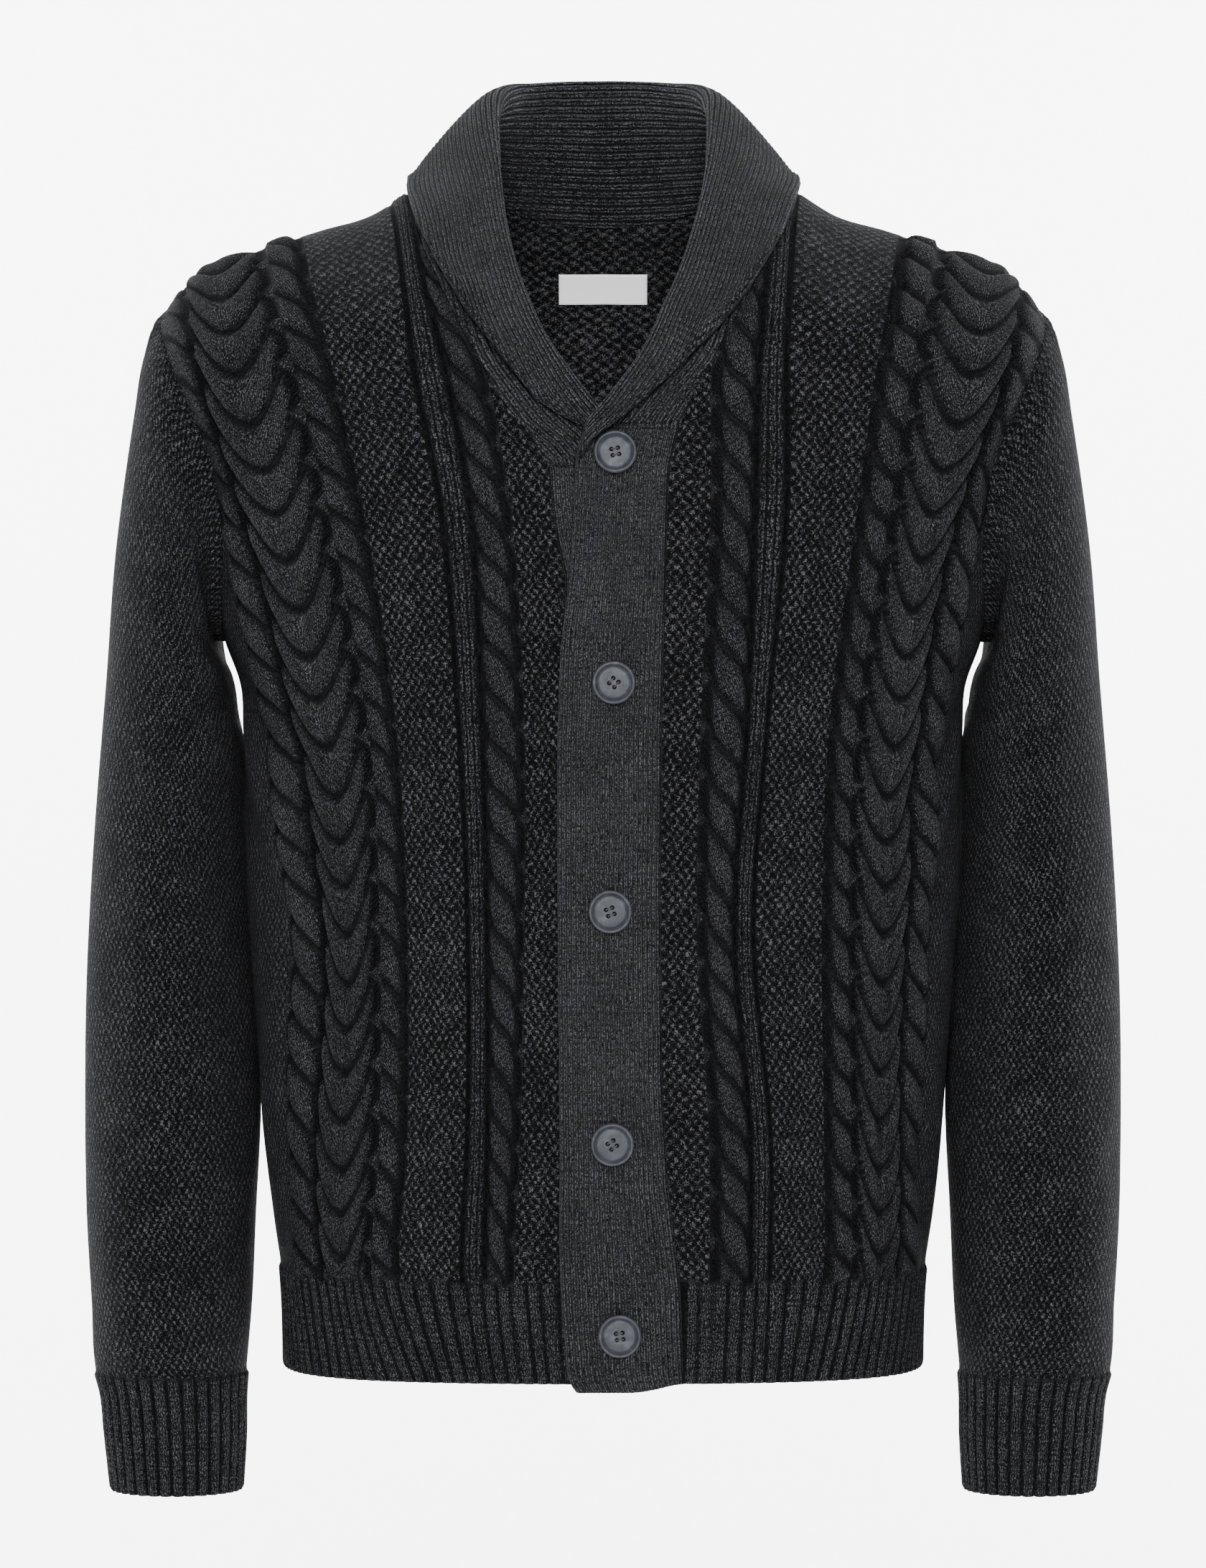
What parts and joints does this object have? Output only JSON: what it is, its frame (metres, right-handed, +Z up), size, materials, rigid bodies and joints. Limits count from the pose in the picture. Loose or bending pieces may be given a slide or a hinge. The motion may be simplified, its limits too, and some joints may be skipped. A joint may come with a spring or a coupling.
{
  "type": "shawl collar cardigan",
  "caption": "Cable-knit long-sleeved cardigan with a turned-over shawl collar, ribbed hem and cuffs and a buttoned front, filled out as worn.",
  "frame": {"origin": "between the tops of the two shoulders, level with where the shoulders are held, midway between front and back", "axes": "+Z up, -Y towards the front, +X to the wearer's left"},
  "size_m": [0.6078, 0.2628, 0.8292],
  "materials": {
    "knit_body": "charcoal marl wool, cable and moss stitch",
    "knit_rib": "charcoal marl wool, fine rib",
    "button_plastic": "blue-grey satin, dished, bare",
    "label_cloth": "white woven ribbon, blank"
  },
  "bodies": {
    "root": {"back_panel": "knit_body", "right_front": "knit_body", "left_front": "knit_body", "right_sleeve": "knit_body", "left_sleeve": "knit_body", "shawl_collar": "knit_rib", "buttonhole_band": "knit_rib", "button_band": "knit_rib", "button_1": "button_plastic", "button_2": "button_plastic", "button_3": "button_plastic", "button_4": "button_plastic", "button_5": "button_plastic", "neck_label": "label_cloth"}
  },
  "joints": []
}
